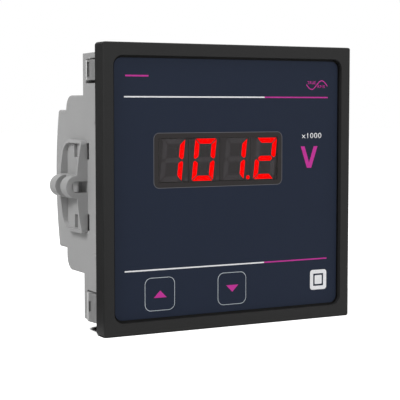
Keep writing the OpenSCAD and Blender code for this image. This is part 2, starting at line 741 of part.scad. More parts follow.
// Outline of the tray, drawn in depth and height
module tray_outline(inset) {
  h = bracket_h - 2 * inset;
  middle = bracket_y + bracket_l / 2;
  round_ended(middle, bracket_end - inset, h, bracket_rear_corner - inset);
  translate([2 * middle, 0]) mirror([1, 0]) round_ended(middle - eps, bracket_end - inset, h, bracket_corner - inset);
}

// The bow that limits every upright wall, over the bracket's whole length
module bow() slab(bracket_y - 1, bracket_end + 1) intersection() {
  translate([bracket_crest - bracket_bow, 0]) circle(bracket_bow, $fn = 180);
  translate([0, -bracket_h]) square([bracket_crest + 1, 2 * bracket_h]);
}

module bracket_pad(y0, y1) translate([clamp_out, 0, 0]) rod(pad_r, y0, y1);

// One bracket on the right side of the housing
module bracket() color("#9a9a9a") translate([housing_w / 2, 0, bracket_z]) {
  web_out = pad_r - 0.25;                        // centre plane of a web above or below the pads
  difference() {
    union() {
      intersection() {
        across(0, bracket_crest + 1) difference() {
          tray_outline(0);
          tray_outline(bracket_wall);
        }
        bow();
      }
      across(0, bracket_wall) tray_outline(0);
      intersection() {
        for (s = [-1, 1]) translate([0, bracket_y, s * web_out - web_t / 2])
          cube([bracket_crest + 1, bracket_l, web_t]);
        bow();
      }
      bracket_pad(bracket_y, bracket_y + pad_l);
      bracket_pad(bracket_end - bracket_wall - pad_l, bracket_end - bracket_wall + eps);
    }
    // bore for the clamp screw, open down to the housing in the front pad
    translate([clamp_out, 0, 0]) rod(clamp_bore_r, bracket_y - 1, bracket_end + 1);
    translate([-1, bracket_y - 1, -clamp_bore_r]) cube([clamp_out + 1, pad_l + 1 + eps, 2 * clamp_bore_r]);
    // windows in the floor, above the hooks' feet
    for (s = [-1, 1]) translate([-1, slot_back + 0.2, s > 0 ? slot_near + 0.6 : -slot_far + 0.4])
      cube([bracket_wall + 2, window_l, hook_h - 1]);
  }
  // hooks that pass through the housing's side and turn back behind it
  for (s = [-1, 1]) translate([0, slot_back - hook_l - 0.1, s > 0 ? slot_near + 0.15 : -slot_far + 0.15]) {
    translate([-wall - 0.1 - hook_t, 0, 0]) cube([wall + 0.1 + hook_t + eps, hook_l, slot_far - slot_near - 0.3]);
    translate([-wall - 0.1 - hook_t, 0, 0]) cube([hook_t, hook_l + hook_reach, slot_far - slot_near - 0.3]);
  }
}

module right_bracket() bracket();
module left_bracket() mirror([1, 0, 0]) bracket();

// ---- assembly --------------------------------------------------------------

bezel();
front_overlay();
display_window();
digit_1_case();
digit_2_case();
digit_3_case();
digit_4_case();
lit_segments();
dark_segments();
display_board();
display_board_screws();
up_key_plunger();
up_key_stem();
up_key_switch();
down_key_plunger();
down_key_stem();
down_key_switch();
housing();
rear_cover();
main_board();
main_board_screws();
pin_header();
header_socket();
transformer_core();
transformer_bobbin();
supply_capacitor();
converter_chip();
input_resistors();
terminal_block();
terminal_plates();
terminal_clamps();
terminal_screws();
left_bracket();
right_bracket();
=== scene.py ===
"""Digital panel meter with a 96 mm square front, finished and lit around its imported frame."""
import math

import bmesh
import bpy
from mathutils import Matrix, Vector


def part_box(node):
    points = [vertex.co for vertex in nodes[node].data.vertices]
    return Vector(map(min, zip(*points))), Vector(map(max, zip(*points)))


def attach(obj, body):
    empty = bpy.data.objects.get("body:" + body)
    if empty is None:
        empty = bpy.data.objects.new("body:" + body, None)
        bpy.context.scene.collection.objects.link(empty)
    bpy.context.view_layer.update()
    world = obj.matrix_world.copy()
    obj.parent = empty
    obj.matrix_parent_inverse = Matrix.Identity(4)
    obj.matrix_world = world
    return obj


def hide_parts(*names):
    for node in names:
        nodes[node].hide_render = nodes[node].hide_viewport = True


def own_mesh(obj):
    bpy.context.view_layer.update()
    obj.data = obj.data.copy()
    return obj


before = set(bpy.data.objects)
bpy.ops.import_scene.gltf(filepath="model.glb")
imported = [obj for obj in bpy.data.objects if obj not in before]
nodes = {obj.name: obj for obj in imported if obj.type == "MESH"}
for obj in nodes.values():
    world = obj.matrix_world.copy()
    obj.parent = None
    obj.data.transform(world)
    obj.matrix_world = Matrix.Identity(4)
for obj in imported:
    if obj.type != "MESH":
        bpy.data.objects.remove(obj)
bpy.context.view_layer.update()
MM = 0.001


# ---- housing ----------------------------------------------------------------
# One moulding in light grey flame-retardant plastic. Its stepped shell carries everything behind the
# panel, and four spring clips are cut free in its side walls. It pushes into the back of the bezel.

def feed(tree, socket, value):
    """Links a socket to another one, or sets it to a number or to three values."""
    if isinstance(value, bpy.types.NodeSocket):
        tree.links.new(value, socket)
    elif isinstance(value, tuple):
        # a colour socket has room for the alpha, a vector socket hasn't
        socket.default_value = (*value, 1)[:len(socket.default_value)]
    else:
        socket.default_value = value


def shader_group(name, inputs, outputs):
    """An empty node group with its sockets, and its input and output nodes."""
    group = bpy.data.node_groups.new(name, "ShaderNodeTree")
    for label, kind, value in inputs:
        socket = group.interface.new_socket(name=label, in_out="INPUT", socket_type=kind)
        socket.default_value = value
    for label, kind in outputs:
        group.interface.new_socket(name=label, in_out="OUTPUT", socket_type=kind)
    return group, group.nodes.new("NodeGroupInput"), group.nodes.new("NodeGroupOutput")


def place_on_piece(tree):
    """Coordinates that stick to the piece."""
    return tree.nodes.new("ShaderNodeTexCoord").outputs["Object"]


def noise_on_piece(tree, per_metre, detail, stretch=1):
    """Noise with its grains per metre. A stretch under 1 draws the grains out along Z."""
    place = place_on_piece(tree)
    if stretch != 1:
        mapping = tree.nodes.new("ShaderNodeMapping")
        mapping.inputs["Scale"].default_value = (1, 1, stretch)
        tree.links.new(place, mapping.inputs["Vector"])
        place = mapping.outputs["Vector"]
    noise = tree.nodes.new("ShaderNodeTexNoise")
    noise.inputs["Detail"].default_value = detail
    feed(tree, noise.inputs["Scale"], per_metre)
    tree.links.new(place, noise.inputs["Vector"])
    return noise.outputs["Fac"]


def remap(tree, noise, low, high):
    """Spreads the middle of a noise, where most of it lies, from low to high."""
    node = tree.nodes.new("ShaderNodeMapRange")
    node.inputs["From Min"].default_value = 0.3
    node.inputs["From Max"].default_value = 0.7
    feed(tree, node.inputs["Value"], noise)
    feed(tree, node.inputs["To Min"], low)
    feed(tree, node.inputs["To Max"], high)
    return node.outputs["Result"]


def arithmetic(tree, operation, first, second=0):
    """One calculation with sockets or numbers."""
    node = tree.nodes.new("ShaderNodeMath")
    node.operation = operation
    feed(tree, node.inputs[0], first)
    feed(tree, node.inputs[1], second)
    return node.outputs["Value"]


def scaled_colour(tree, colour, strength):
    """A colour made stronger or weaker."""
    node = tree.nodes.new("ShaderNodeVectorMath")
    node.operation = "SCALE"
    feed(tree, node.inputs[0], colour)
    feed(tree, node.inputs["Scale"], strength)
    return node.outputs["Vector"]


def make_uneven_colour():
    """A colour that drifts between two strengths in soft patches, as pigment, ink and plating do."""
    group, given, result = shader_group(
        "uneven_colour",
        [("Colour", "NodeSocketColor", (0.5, 0.5, 0.5, 1)),
         ("Patches per metre", "NodeSocketFloat", 100.0),
         ("Weakest", "NodeSocketFloat", 0.95),
         ("Strongest", "NodeSocketFloat", 1.05)],
        [("Colour", "NodeSocketColor")])
    patches = noise_on_piece(group, given.outputs["Patches per metre"], detail=2)
    strength = remap(group, patches, given.outputs["Weakest"], given.outputs["Strongest"])
    uneven = scaled_colour(group, given.outputs["Colour"], strength)
    group.links.new(uneven, result.inputs["Colour"])
    return group


uneven_colour = make_uneven_colour()


def drifting(tree, colour, patches, weakest, strongest):
    """The given colour, made uneven, with its patches per metre. Any value may be a socket."""
    node = tree.nodes.new("ShaderNodeGroup")
    node.node_tree = uneven_colour
    feed(tree, node.inputs["Colour"], colour)
    feed(tree, node.inputs["Patches per metre"], patches)
    feed(tree, node.inputs["Weakest"], weakest)
    feed(tree, node.inputs["Strongest"], strongest)
    return node.outputs["Colour"]


def make_moulded_surface():
    """Spark-eroded mould grain with faint flow clouds, for every moulded plastic here."""
    group, given, result = shader_group(
        "moulded_surface",
        [("Colour", "NodeSocketColor", (0.5, 0.5, 0.5, 1)),
         ("Roughness", "NodeSocketFloat", 0.5),
         ("Grains per metre", "NodeSocketFloat", 5000.0),
         ("Cloudiness", "NodeSocketFloat", 0.04)],
        [("Colour", "NodeSocketColor"), ("Roughness", "NodeSocketFloat"), ("Height", "NodeSocketFloat")])
    grain = noise_on_piece(group, given.outputs["Grains per metre"], detail=3)
    weakest = arithmetic(group, "SUBTRACT", 1, given.outputs["Cloudiness"])
    strongest = arithmetic(group, "ADD", 1, given.outputs["Cloudiness"])
    clouded = drifting(group, given.outputs["Colour"], patches=55, weakest=weakest, strongest=strongest)
    group.links.new(clouded, result.inputs["Colour"])
    spread = remap(group, grain, low=0.93, high=1.07)
    uneven = arithmetic(group, "MULTIPLY", given.outputs["Roughness"], spread)
    group.links.new(uneven, result.inputs["Roughness"])
    group.links.new(grain, result.inputs["Height"])
    return group


moulded_surface = make_moulded_surface()


def new_finish(name):
    """A material with its Principled shader, ready to be wired."""
    finish = bpy.data.materials.new(name)
    finish.use_nodes = True
    return finish, finish.node_tree, finish.node_tree.nodes["Principled BSDF"]


def relief(tree, shader, height, depth):
    """Feeds a height to the shader's normal, with its depth in metres."""
    bump = tree.nodes.new("ShaderNodeBump")
    bump.inputs["Strength"].default_value = 1
    bump.inputs["Distance"].default_value = depth
    tree.links.new(height, bump.inputs["Height"])
    tree.links.new(bump.outputs["Normal"], shader.inputs["Normal"])


def moulded_plastic(name, colour, roughness, grains, cloudiness, depth, gloss):
    """A plastic straight from the mould, with its grains per metre and their depth."""
    finish, tree, shader = new_finish(name)
    surface = tree.nodes.new("ShaderNodeGroup")
    surface.node_tree = moulded_surface
    feed(tree, surface.inputs["Colour"], colour)
    feed(tree, surface.inputs["Roughness"], roughness)
    feed(tree, surface.inputs["Grains per metre"], grains)
    feed(tree, surface.inputs["Cloudiness"], cloudiness)
    tree.links.new(surface.outputs["Colour"], shader.inputs["Base Color"])
    tree.links.new(surface.outputs["Roughness"], shader.inputs["Roughness"])
    shader.inputs["Specular IOR Level"].default_value = gloss
    relief(tree, shader, surface.outputs["Height"], depth)
    return finish


def dress(name, finish):
    """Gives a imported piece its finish."""
    nodes[name].data.materials.clear()
    nodes[name].data.materials.append(finish)


def break_edges(name, width):
    """Rounds a piece's sharp edges a little, as a mould or a tumbler leaves them, and evens its shading."""
    piece = nodes[name]
    weld = piece.modifiers.new("joined_skin", "WELD")
    weld.merge_threshold = 0.002 * MM
    flats = piece.modifiers.new("whole_flats", "DECIMATE")
    flats.decimate_type = "DISSOLVE"
    flats.angle_limit = math.radians(0.3)
    edges = piece.modifiers.new("broken_edges", "BEVEL")
    edges.width = width
    edges.segments = 2
    edges.limit_method = "ANGLE"
    edges.angle_limit = math.radians(35)
    edges.miter_outer = "MITER_ARC"
    edges.use_clamp_overlap = True
    evened = piece.modifiers.new("even_shading", "WEIGHTED_NORMAL")
    evened.keep_sharp = True


housing_grey = moulded_plastic("housing_grey", (0.33, 0.33, 0.33), roughness=0.52, grains=5200,
                               cloudiness=0.025, depth=0.012 * MM, gloss=0.35)

# how far out the housing's sides lie, the clips' heights on them, and how far behind the panel's front
# each part of a clip lies
SIDES_BEYOND = 44.3 * MM
UPPER_CLIP, LOWER_CLIP = (35.3 * MM, 43.3 * MM), (-46.0 * MM, -35.1 * MM)
UPPER_POCKET, LOWER_POCKET = (37.15 * MM, 42.15 * MM), (-41.75 * MM, -38.25 * MM)
CREST_Y = 10.25 * MM
RAMP_DEPTHS = (0, CREST_Y - 0.7 * MM)
POCKET_DEPTHS = (CREST_Y - 1.1 * MM, CREST_Y - 0.35 * MM)
CREST_DEPTHS = (CREST_Y - 0.25 * MM, CREST_Y + 0.4 * MM)
# strengths of the plastic's colour: painted shade in the clips' pockets, and a painted highlight on their
# crests
POCKET_SHADE_TONE = 0.45
CREST_HIGHLIGHT_TONE = 2.1


def within(tree, value, limits):
    """1 where a value lies between two limits."""
    low, high = limits
    off_middle = arithmetic(tree, "ABSOLUTE", arithmetic(tree, "SUBTRACT", value, (low + high) / 2))
    return arithmetic(tree, "LESS_THAN", off_middle, (high - low) / 2)


def place_by_axis(tree):
    """The three coordinates on the piece, one by one."""
    parts = tree.nodes.new("ShaderNodeSeparateXYZ")
    tree.links.new(place_on_piece(tree), parts.inputs["Vector"])
    return parts.outputs["X"], parts.outputs["Y"], parts.outputs["Z"]


def with_painted_clip_light(plain, name):
    """The housing's plastic, with painted shade on its clips' ramps over a streaked grain, painted shade in
    their pockets, and a painted highlight along their crests.
    """
    finish = plain.copy()
    finish.name = name
    tree = finish.node_tree
    shader = tree.nodes["Principled BSDF"]
    tone = shader.inputs["Base Color"].links[0].from_socket
    x, y, z = place_by_axis(tree)
    at_side = arithmetic(tree, "GREATER_THAN", arithmetic(tree, "ABSOLUTE", x), SIDES_BEYOND)
    at_clip = arithmetic(tree, "MAXIMUM", within(tree, z, UPPER_CLIP), within(tree, z, LOWER_CLIP))
    at_pocket = arithmetic(tree, "MAXIMUM", within(tree, z, UPPER_POCKET), within(tree, z, LOWER_POCKET))
    # the ramps get painted shade, laid over a streaked grain
    streaks = noise_on_piece(tree, per_metre=1600, detail=2, stretch=0.12)
    ramp_shade_tone = remap(tree, streaks, low=0.58, high=0.74)
    # each zone scales the colour: painted shade on the ramps and in the pockets, and a painted highlight on
    # the crests
    for height, depths, strength in ((at_clip, RAMP_DEPTHS, ramp_shade_tone),
                                     (at_pocket, POCKET_DEPTHS, POCKET_SHADE_TONE),
                                     (at_clip, CREST_DEPTHS, CREST_HIGHLIGHT_TONE)):
        zone = arithmetic(tree, "MULTIPLY", height, within(tree, y, depths))
        share = arithmetic(tree, "MULTIPLY", at_side, zone)
        change = arithmetic(tree, "MULTIPLY", share, arithmetic(tree, "SUBTRACT", strength, 1))
        tone = scaled_colour(tree, tone, arithmetic(tree, "ADD", 1, change))
    tree.links.new(tone, shader.inputs["Base Color"])
    return finish


dress("housing", with_painted_clip_light(housing_grey, "housing_grey_painted_clip_light"))
break_edges("housing", width=0.22 * MM)


# ---- rear cover -------------------------------------------------------------
# A second moulding in the same grey plastic. It plugs into the housing's rear opening behind a seam, its
# back is bowed, and its window lets the terminals through.

dress("rear_cover", housing_grey)
break_edges("rear_cover", width=0.22 * MM)


# ---- side brackets ----------------------------------------------------------
# Trays in a slightly lighter, glass-filled plastic. They hook into slots in the housing's sides, and their
# round pads guide the clamp screws that push against the panel.

bracket_grey = moulded_plastic("bracket_grey", (0.345, 0.345, 0.345), roughness=0.5, grains=4200,
                               cloudiness=0.03, depth=0.016 * MM, gloss=0.4)
for bracket in ("left_bracket", "right_bracket"):
    dress(bracket, bracket_grey)
    break_edges(bracket, width=0.2 * MM)


# ---- terminals --------------------------------------------------------------
# A black barrier block sits in the rear cover's window. Each way has a plated contact plate and a clamp
# plate under a pan head screw with a cross recess.

terminal_black = moulded_plastic("terminal_black", (0.020, 0.020, 0.021), roughness=0.5, grains=3600,
                                 cloudiness=0.05, depth=0.02 * MM, gloss=0.4)
dress("terminal_block", terminal_black)
break_edges("terminal_block", width=0.2 * MM)


def plated_metal(name, colour, roughness, stretch):
    """Metal with fine streaks along the rolled or turned direction, and clouds of handling."""
    finish, tree, shader = new_finish(name)
    clouded = drifting(tree, colour, patches=240, weakest=0.85, strongest=1.08)
    tree.links.new(clouded, shader.inputs["Base Color"])
    shader.inputs["Metallic"].default_value = 1
    streaks = noise_on_piece(tree, per_metre=2600, detail=3, stretch=stretch)
    worn = remap(tree, streaks, low=roughness * 0.8, high=roughness * 1.25)
    tree.links.new(worn, shader.inputs["Roughness"])
    relief(tree, shader, streaks, depth=0.008 * MM)
    return finish


zinc_plate = plated_metal("zinc_plate", (0.62, 0.63, 0.64), roughness=0.3, stretch=0.15)
for metal_part in ("terminal_plates", "terminal_clamps", "terminal_screws"):
    dress(metal_part, zinc_plate)
    break_edges(metal_part, width=0.12 * MM)


# ---- boards and what they carry ---------------------------------------------
# Two glass-epoxy boards with green solder mask. The main one is screwed to the rear cover's bosses, and
# carries the supply transformer, capacitor, chip, resistors and the pin header to the display board.

def solder_mask():
    """Green lacquer over faintly raised copper tracks."""
    finish, tree, shader = new_finish("green_solder_mask")
    turn = tree.nodes.new("ShaderNodeMapping")
    turn.inputs["Rotation"].default_value = (math.pi / 2, 0, 0)
    tracks = tree.nodes.new("ShaderNodeTexBrick")
    tracks.inputs["Scale"].default_value = 170
    tracks.inputs["Mortar Size"].default_value = 0.08
    tracks.inputs["Color1"].default_value = (0.012, 0.088, 0.040, 1)
    tracks.inputs["Color2"].default_value = (0.014, 0.098, 0.046, 1)
    tracks.inputs["Mortar"].default_value = (0.030, 0.170, 0.080, 1)
    tree.links.new(place_on_piece(tree), turn.inputs["Vector"])
    tree.links.new(turn.outputs["Vector"], tracks.inputs["Vector"])
    tree.links.new(tracks.outputs["Color"], shader.inputs["Base Color"])
    shader.inputs["Roughness"].default_value = 0.35
    relief(tree, shader, tracks.outputs["Fac"], depth=0.03 * MM)
    return finish


green_solder_mask = solder_mask()
for board in ("main_board", "display_board"):
    dress(board, green_solder_mask)
for screws in ("main_board_screws", "display_board_screws"):
    dress(screws, zinc_plate)
    break_edges(screws, width=0.08 * MM)

dress("pin_header", plated_metal("gilt_pins", (0.78, 0.56, 0.22), roughness=0.28, stretch=0.2))

component_black = moulded_plastic("component_black", (0.018, 0.018, 0.019), roughness=0.55, grains=6500,
                                  cloudiness=0.04, depth=0.01 * MM, gloss=0.4)
for black_part in ("header_socket", "converter_chip"):
    dress(black_part, component_black)


def banded(name, base, bands, per_metre, direction, roughness, metallic):
    """A surface with fine regular bands, as stacked sheets or wound wire have."""
    finish, tree, shader = new_finish(name)
    wave = tree.nodes.new("ShaderNodeTexWave")
    wave.bands_direction = direction
    wave.inputs["Scale"].default_value = per_metre
    wave.inputs["Distortion"].default_value = 0.4
    ramp = tree.nodes.new("ShaderNodeValToRGB")
    ramp.color_ramp.elements[0].color = (*bands, 1)
    ramp.color_ramp.elements[1].color = (*base, 1)
    ramp.color_ramp.elements[1].position = 0.4
    tree.links.new(place_on_piece(tree), wave.inputs["Vector"])
    tree.links.new(wave.outputs["Fac"], ramp.inputs["Fac"])
    tree.links.new(ramp.outputs["Color"], shader.inputs["Base Color"])
    shader.inputs["Roughness"].default_value = roughness
    shader.inputs["Metallic"].default_value = metallic
    relief(tree, shader, wave.outputs["Fac"], depth=0.06 * MM)
    return finish


dress("transformer_core", banded("stacked_core_sheets", base=(0.20, 0.19, 0.18), bands=(0.07, 0.06, 0.05),
                                 per_metre=640, direction="Y", roughness=0.45, metallic=0.8))
dress("transformer_bobbin", banded("wound_wire", base=(0.46, 0.22, 0.07), bands=(0.16, 0.07, 0.02),
                                   per_metre=900, direction="Z", roughness=0.35, metallic=0.6))
dress("supply_capacitor", banded("shrunk_sleeve", base=(0.020, 0.024, 0.040), bands=(0.017, 0.020, 0.034),
                                 per_metre=90, direction="X", roughness=0.3, metallic=0))
dress("input_resistors", banded("striped_lacquer", base=(0.20, 0.34, 0.46), bands=(0.25, 0.05, 0.03),
                                per_metre=78, direction="X", roughness=0.3, metallic=0))


# ---- display ----------------------------------------------------------------
# Four seven-segment digits stand side by side on the display board. Each is a dark case with its bars cast
# in milky epoxy: the lit ones glow red, and the others stay a shade lighter than the case.

case_grey = moulded_plastic("digit_case_grey", (0.053, 0.0495, 0.050), roughness=0.6, grains=6000,
                            cloudiness=0.01, depth=0.008 * MM, gloss=0.1)
for number in (1, 2, 3, 4):
    dress(f"digit_{number}_case", case_grey)

unlit_epoxy = moulded_plastic("unlit_epoxy", (0.077, 0.071, 0.075), roughness=0.5, grains=5000,
                              cloudiness=0.01, depth=0.006 * MM, gloss=0.1)
dress("dark_segments", unlit_epoxy)


def lit_epoxy():
    """Red light through cast epoxy, a little uneven from place to place."""
    finish, tree, shader = new_finish("lit_epoxy")
    red = drifting(tree, (1.0, 0.0, 0.0), patches=2400, weakest=0.97, strongest=1.03)
    tree.links.new(red, shader.inputs["Emission Color"])
    shader.inputs["Emission Strength"].default_value = 1.25
    shader.inputs["Base Color"].default_value = (0.35, 0.0, 0.0, 1)
    shader.inputs["Roughness"].default_value = 0.4
    shader.inputs["Specular IOR Level"].default_value = 0.0
    return finish


dress("lit_segments", lit_epoxy())


# ---- keys -------------------------------------------------------------------
# Two plungers stand in openings of the bezel's front wall, on the stems of two snap switches. They are
# black mouldings, hidden by the film.

switch_grey = moulded_plastic("key_switch_grey", (0.07, 0.07, 0.075), roughness=0.5, grains=5500,
                              cloudiness=0.03, depth=0.01 * MM, gloss=0.4)
for key in ("up_key", "down_key"):
    dress(f"{key}_plunger", component_black)
    dress(f"{key}_stem", component_black)
    dress(f"{key}_switch", switch_grey)


# ---- bezel ------------------------------------------------------------------
# One black moulding with a fine satin grain: a square frame round a sunk front, with a narrow groove
# round the place of the film. The housing pushes into it from behind.

bezel_black = moulded_plastic("bezel_black", (0.018, 0.018, 0.018), roughness=0.6, grains=5200,
                              cloudiness=0.03, depth=0.012 * MM, gloss=0.16)
dress("bezel", bezel_black)
break_edges("bezel", width=0.18 * MM)


# ---- front film -------------------------------------------------------------
# A polyester film, printed navy blue on its back, stuck into the sunk front. It is cut out at the display
# window, whose flange lies behind it.

film_low, film_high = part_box("front_overlay")
window_low, window_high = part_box("display_window")
window_centre = (window_low + window_high) / 2
FILM_FRONT = film_low.y
FILM_CORNER = 2.6 * MM
WINDOW_CORNER = 2.0 * MM
WINDOW_FLANGE = 1.2 * MM
CORNER_STEPS = 12


def stand_up(mesh, verts):
    """Turns flat work upright, so that its top is up along Z."""
    bmesh.ops.rotate(mesh, verts=verts, cent=(0, 0, 0), matrix=Matrix.Rotation(math.pi / 2, 3, "X"))


def face_front(face):
    """Makes a face look towards the front."""
    face.normal_update()
    if face.normal.y > 0:
        face.normal_flip()


def rounded_face(mesh, width, height, corner, x, z, y):
    """Adds one upright rounded rectangle that faces the front, and returns its face."""
    made = bmesh.ops.create_grid(mesh, x_segments=1, y_segments=1, size=0.5)
    bmesh.ops.scale(mesh, verts=made["verts"], vec=(width, height, 1))
    stand_up(mesh, made["verts"])
    bmesh.ops.translate(mesh, verts=made["verts"], vec=(x, y, z))
    rounded = bmesh.ops.bevel(mesh, geom=made["verts"], offset=corner, offset_type="OFFSET",
                              affect="VERTICES", segments=CORNER_STEPS, profile=0.5, material=-1)
    face = max((f for f in mesh.faces if set(f.verts) & set(rounded["verts"])), key=lambda f: f.calc_area())
    face_front(face)
    return face


def ring_between(mesh, outer, inner):
    """Turns two nested faces into the flat ring between them."""
    edges = list(outer.edges) + list(inner.edges)
    bmesh.ops.delete(mesh, geom=[outer, inner], context="FACES_ONLY")
    return bmesh.ops.bridge_loops(mesh, edges=edges)["faces"]


def thicken(mesh, faces, depth):
    """Pulls faces out by a depth along Y and closes the sheet's back and sides."""
    made = bmesh.ops.extrude_face_region(mesh, geom=faces, use_keep_orig=True)
    moved = [v for v in made["geom"] if isinstance(v, bmesh.types.BMVert)]
    bmesh.ops.translate(mesh, verts=moved, vec=(0, depth, 0))
    bmesh.ops.recalc_face_normals(mesh, faces=mesh.faces[:])


def object_of(name, mesh, finish):
    """Makes the mesh an object in one finish."""
    data = bpy.data.meshes.new(name)
    mesh.to_mesh(data)
    mesh.free()
    data.materials.append(finish)
    made = bpy.data.objects.new(name, data)
    bpy.context.scene.collection.objects.link(made)
    return made


def finished_piece(name, mesh, finish):
    """Makes the mesh a piece that rides on the meter's case."""
    piece = object_of(name, mesh, finish)
    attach(piece, "case")
    return piece


def printed_film():
    """Navy film with a fine velvet texture on its front."""
    finish, tree, shader = new_finish("navy_film")
    navy = drifting(tree, (0.0125, 0.0188, 0.0365), patches=90, weakest=0.985, strongest=1.015)
    tree.links.new(navy, shader.inputs["Base Color"])
    velvet = noise_on_piece(tree, per_metre=9000, detail=2)
    tree.links.new(remap(tree, velvet, low=0.414, high=0.486), shader.inputs["Roughness"])
    shader.inputs["Specular IOR Level"].default_value = 0.1
    relief(tree, shader, velvet, depth=0.004 * MM)
    return finish


navy_film = printed_film()
window_w = window_high.x - window_low.x - 2 * WINDOW_FLANGE
window_h = window_high.z - window_low.z - 2 * WINDOW_FLANGE

mesh = bmesh.new()
film_edge = rounded_face(mesh, film_high.x - film_low.x, film_high.z - film_low.z, FILM_CORNER,
                         x=0, z=0, y=FILM_FRONT)
window_edge = rounded_face(mesh, window_w, window_h, WINDOW_CORNER,
                           x=window_centre.x, z=window_centre.z, y=FILM_FRONT)
thicken(mesh, ring_between(mesh, film_edge, window_edge), film_high.y - FILM_FRONT)
film = finished_piece("navy_front_film", mesh, navy_film)
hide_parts("front_overlay")


# ---- display window ---------------------------------------------------------
# A smoked acrylic pane with a flange behind the film. It lies flush with the film's front, and is opaque
# in a band along its edge.

OPAQUE_BAND = 1.7 * MM
CLEAR_FROM = 1.9 * MM


def smoked_acrylic():
    """Grey-brown tinted acrylic, nearly clear, that turns opaque in a lighter shade along its edge."""
    finish, tree, shader = new_finish("smoked_acrylic")
    x, _, z = place_by_axis(tree)
    beside = arithmetic(tree, "ABSOLUTE", arithmetic(tree, "SUBTRACT", x, window_centre.x))
    above = arithmetic(tree, "ABSOLUTE", arithmetic(tree, "SUBTRACT", z, window_centre.z))
    inset = arithmetic(tree, "MINIMUM", arithmetic(tree, "SUBTRACT", window_w / 2, beside),
                       arithmetic(tree, "SUBTRACT", window_h / 2, above))
    mask = tree.nodes.new("ShaderNodeMapRange")
    mask.inputs["From Min"].default_value = CLEAR_FROM
    mask.inputs["From Max"].default_value = OPAQUE_BAND
    tree.links.new(inset, mask.inputs["Value"])
    opaque = mask.outputs["Result"]
    shade = tree.nodes.new("ShaderNodeValToRGB")
    shade.color_ramp.elements[0].color = (0.020, 0.018, 0.018, 1)
    shade.color_ramp.elements[1].color = (0.0395, 0.0365, 0.0365, 1)
    tree.links.new(opaque, shade.inputs["Fac"])
    tree.links.new(shade.outputs["Color"], shader.inputs["Base Color"])
    haze = remap(tree, noise_on_piece(tree, per_metre=130, detail=2), low=0.115, high=0.125)
    tree.links.new(arithmetic(tree, "MAXIMUM", haze, opaque), shader.inputs["Alpha"])
    shader.inputs["Roughness"].default_value = 0.32
    shader.inputs["Specular IOR Level"].default_value = 0.03
    return finish


dress("display_window", smoked_acrylic())
# the opaque band's shadow would draw a dark frame on the digits, which the light inside a real pane fills
nodes["display_window"].visible_shadow = False


# ---- prints -----------------------------------------------------------------
# Screen printed inks in white, magenta and grey. They lie two hundredths of a millimetre proud, so that
# their edges catch the light as real ink does.

INK = 0.02 * MM
BAR_CORNER = 0.04 * MM
SMALLEST_CORNER = 0.1 * MM
LINE_TOP = 30.35 * MM
LINE_BOTTOM = -26.9 * MM
LINE_LEFT = -39.95 * MM
LINE_CHANGE = 13.3 * MM
LINE_RIGHT = 39.4 * MM
LINE_WIDTH = 0.45 * MM
WINDOW_LINE, WINDOW_LINE_OUT = 0.15 * MM, 0.05 * MM
SIGN_X, SIGN_Z = 35.9 * MM, -34.4 * MM
UNIT_X, UNIT_LOW, UNIT_HIGH = 31.7 * MM, 5.6 * MM, 13.2 * MM
UNIT_HALF, UNIT_POINT, UNIT_STROKE = 3.5 * MM, 0.9 * MM, 1.6 * MM
UNIT_FORK = UNIT_LOW + 1.8 * MM


def ink(name, colour):
    """Opaque ink with the unevenness of a screen print."""
    finish, tree, shader = new_finish(name)
    printed = drifting(tree, colour, patches=1500, weakest=0.95, strongest=1.03)
    tree.links.new(printed, shader.inputs["Base Color"])
    shader.inputs["Roughness"].default_value = 0.5
    shader.inputs["Specular IOR Level"].default_value = 0.2
    return finish


white_ink = ink("white_ink", (0.86, 0.86, 0.88))
magenta_ink = ink("magenta_ink", (0.55, 0.030, 0.31))
grey_ink = ink("pale_grey_ink", (0.68, 0.75, 0.80))
dim_ink = ink("dim_grey_ink", (0.14, 0.14, 0.155))


def add_block(mesh, width, height, corner, x, z):
    """Adds a printed rectangle with rounded corners."""
    thicken(mesh, [rounded_face(mesh, width, height, corner, x, z, FILM_FRONT)], -INK)


def add_bar(mesh, left, right, z, width):
    """Adds a level printed line."""
    add_block(mesh, right - left, width, BAR_CORNER, (left + right) / 2, z)


def add_outline(mesh, points):
    """Adds a printed shape from its corners, given as left or right and up or down."""
    face = mesh.faces.new([mesh.verts.new((x, FILM_FRONT, z)) for x, z in points])
    face_front(face)
    thicken(mesh, [face], -INK)


def add_ring(mesh, width, height, corner, line, x, z):
    """Adds a rounded outline, with its line inside the given size."""
    outer = rounded_face(mesh, width, height, corner, x, z, FILM_FRONT)
    inner_corner = max(corner - line, SMALLEST_CORNER)
    inner = rounded_face(mesh, width - 2 * line, height - 2 * line, inner_corner, x, z, FILM_FRONT)
    thicken(mesh, ring_between(mesh, outer, inner), -INK)


def add_letters(mesh, words, left, right, base, top, weight):
    """Adds lettering that fills the given field."""
    curve = bpy.data.curves.new("lettering", "FONT")
    curve.body = words
    curve.offset = weight
    curve.space_character = 1.12
    curve.resolution_u = 6
    writer = bpy.data.objects.new("lettering", curve)
    bpy.context.scene.collection.objects.link(writer)
    bpy.context.view_layer.update()
    outline = bpy.data.meshes.new_from_object(writer)
    start = len(mesh.verts)
    mesh.from_mesh(outline)
    mesh.verts.ensure_lookup_table()
    letters = mesh.verts[start:]
    low = Vector((min(v.co.x for v in letters), min(v.co.y for v in letters), 0))
    high = Vector((max(v.co.x for v in letters), max(v.co.y for v in letters), 0))
    fit = ((right - left) / (high.x - low.x), (top - base) / (high.y - low.y), 1)
    bmesh.ops.translate(mesh, verts=letters, vec=-low)
    bmesh.ops.scale(mesh, verts=letters, vec=fit)
    stand_up(mesh, letters)
    bmesh.ops.translate(mesh, verts=letters, vec=(left, FILM_FRONT, base))
    faces = [f for f in mesh.faces if f.verts[0] in set(letters)]
    bmesh.ops.remove_doubles(mesh, verts=letters, dist=1e-7)
    thicken(mesh, [f for f in faces if f.is_valid], -INK)
    bpy.data.objects.remove(writer)
    bpy.data.curves.remove(curve)
    bpy.data.meshes.remove(outline)


